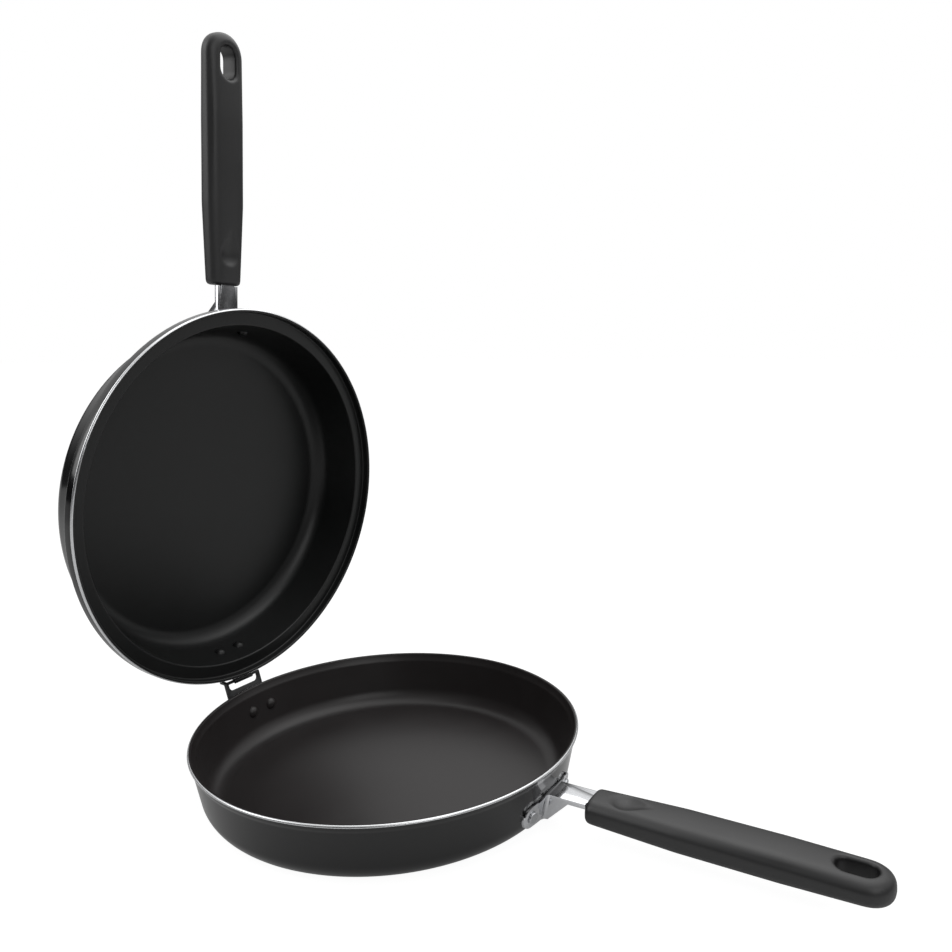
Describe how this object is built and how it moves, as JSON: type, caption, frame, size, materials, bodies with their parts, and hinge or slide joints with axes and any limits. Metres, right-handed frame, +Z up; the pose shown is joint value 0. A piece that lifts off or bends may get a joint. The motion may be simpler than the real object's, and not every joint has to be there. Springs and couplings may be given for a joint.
{
  "type": "double sided flip pan",
  "caption": "Hinged double frying pan: shallow round halves with long handles opposite the hinge, which fold rim to rim so food is turned by flipping the closed pan.",
  "frame": {"origin": "centre of the lower pan's base, on the surface it stands on", "axes": "+Z up, +X towards the lower handle, hinge at -X with its bar along Y; drawn open"},
  "size_m": [0.4629, 0.254, 0.4714],
  "materials": {
    "lower_pan": "dark non-stick coat inside, gloss black enamel outside, bare turned rim",
    "lower_hinge_plate": "semi-gloss black on steel",
    "lower_hinge_rivet_front": "non-stick coated dome",
    "lower_hinge_rivet_rear": "non-stick coated dome",
    "lower_bracket": "bright chromed steel",
    "lower_bracket_rivet_front": "flattened bright head",
    "lower_bracket_rivet_rear": "flattened bright head",
    "lower_grip": "satin black phenolic",
    "lower_grip_screw": "zinc plated",
    "upper_pan": "dark non-stick coat inside, gloss black enamel outside, bare turned rim",
    "upper_hinge_hook": "semi-gloss black on steel",
    "upper_hinge_rivet_front": "non-stick coated dome",
    "upper_hinge_rivet_rear": "non-stick coated dome",
    "upper_bracket": "bright chromed steel",
    "upper_bracket_rivet_front": "flattened bright head",
    "upper_bracket_rivet_rear": "flattened bright head",
    "upper_grip": "satin black phenolic",
    "upper_grip_screw": "zinc plated"
  },
  "bodies": {
    "lower": {"lower_pan": "lower_pan", "lower_hinge_plate": "lower_hinge_plate", "lower_hinge_rivet_front": "lower_hinge_rivet_front", "lower_hinge_rivet_rear": "lower_hinge_rivet_rear", "lower_bracket": "lower_bracket", "lower_bracket_rivet_front": "lower_bracket_rivet_front", "lower_bracket_rivet_rear": "lower_bracket_rivet_rear", "lower_grip": "lower_grip", "lower_grip_screw": "lower_grip_screw"},
    "upper": {"upper_pan": "upper_pan", "upper_hinge_hook": "upper_hinge_hook", "upper_hinge_rivet_front": "upper_hinge_rivet_front", "upper_hinge_rivet_rear": "upper_hinge_rivet_rear", "upper_bracket": "upper_bracket", "upper_bracket_rivet_front": "upper_bracket_rivet_front", "upper_bracket_rivet_rear": "upper_bracket_rivet_rear", "upper_grip": "upper_grip", "upper_grip_screw": "upper_grip_screw"}
  },
  "joints": [
    {"name": "fold", "type": "hinge", "parent": "lower", "child": "upper", "pos_m": [-0.13203, 0, 0.041], "axis": [0, 1, 0], "range_deg": [0, 86]}
  ]
}
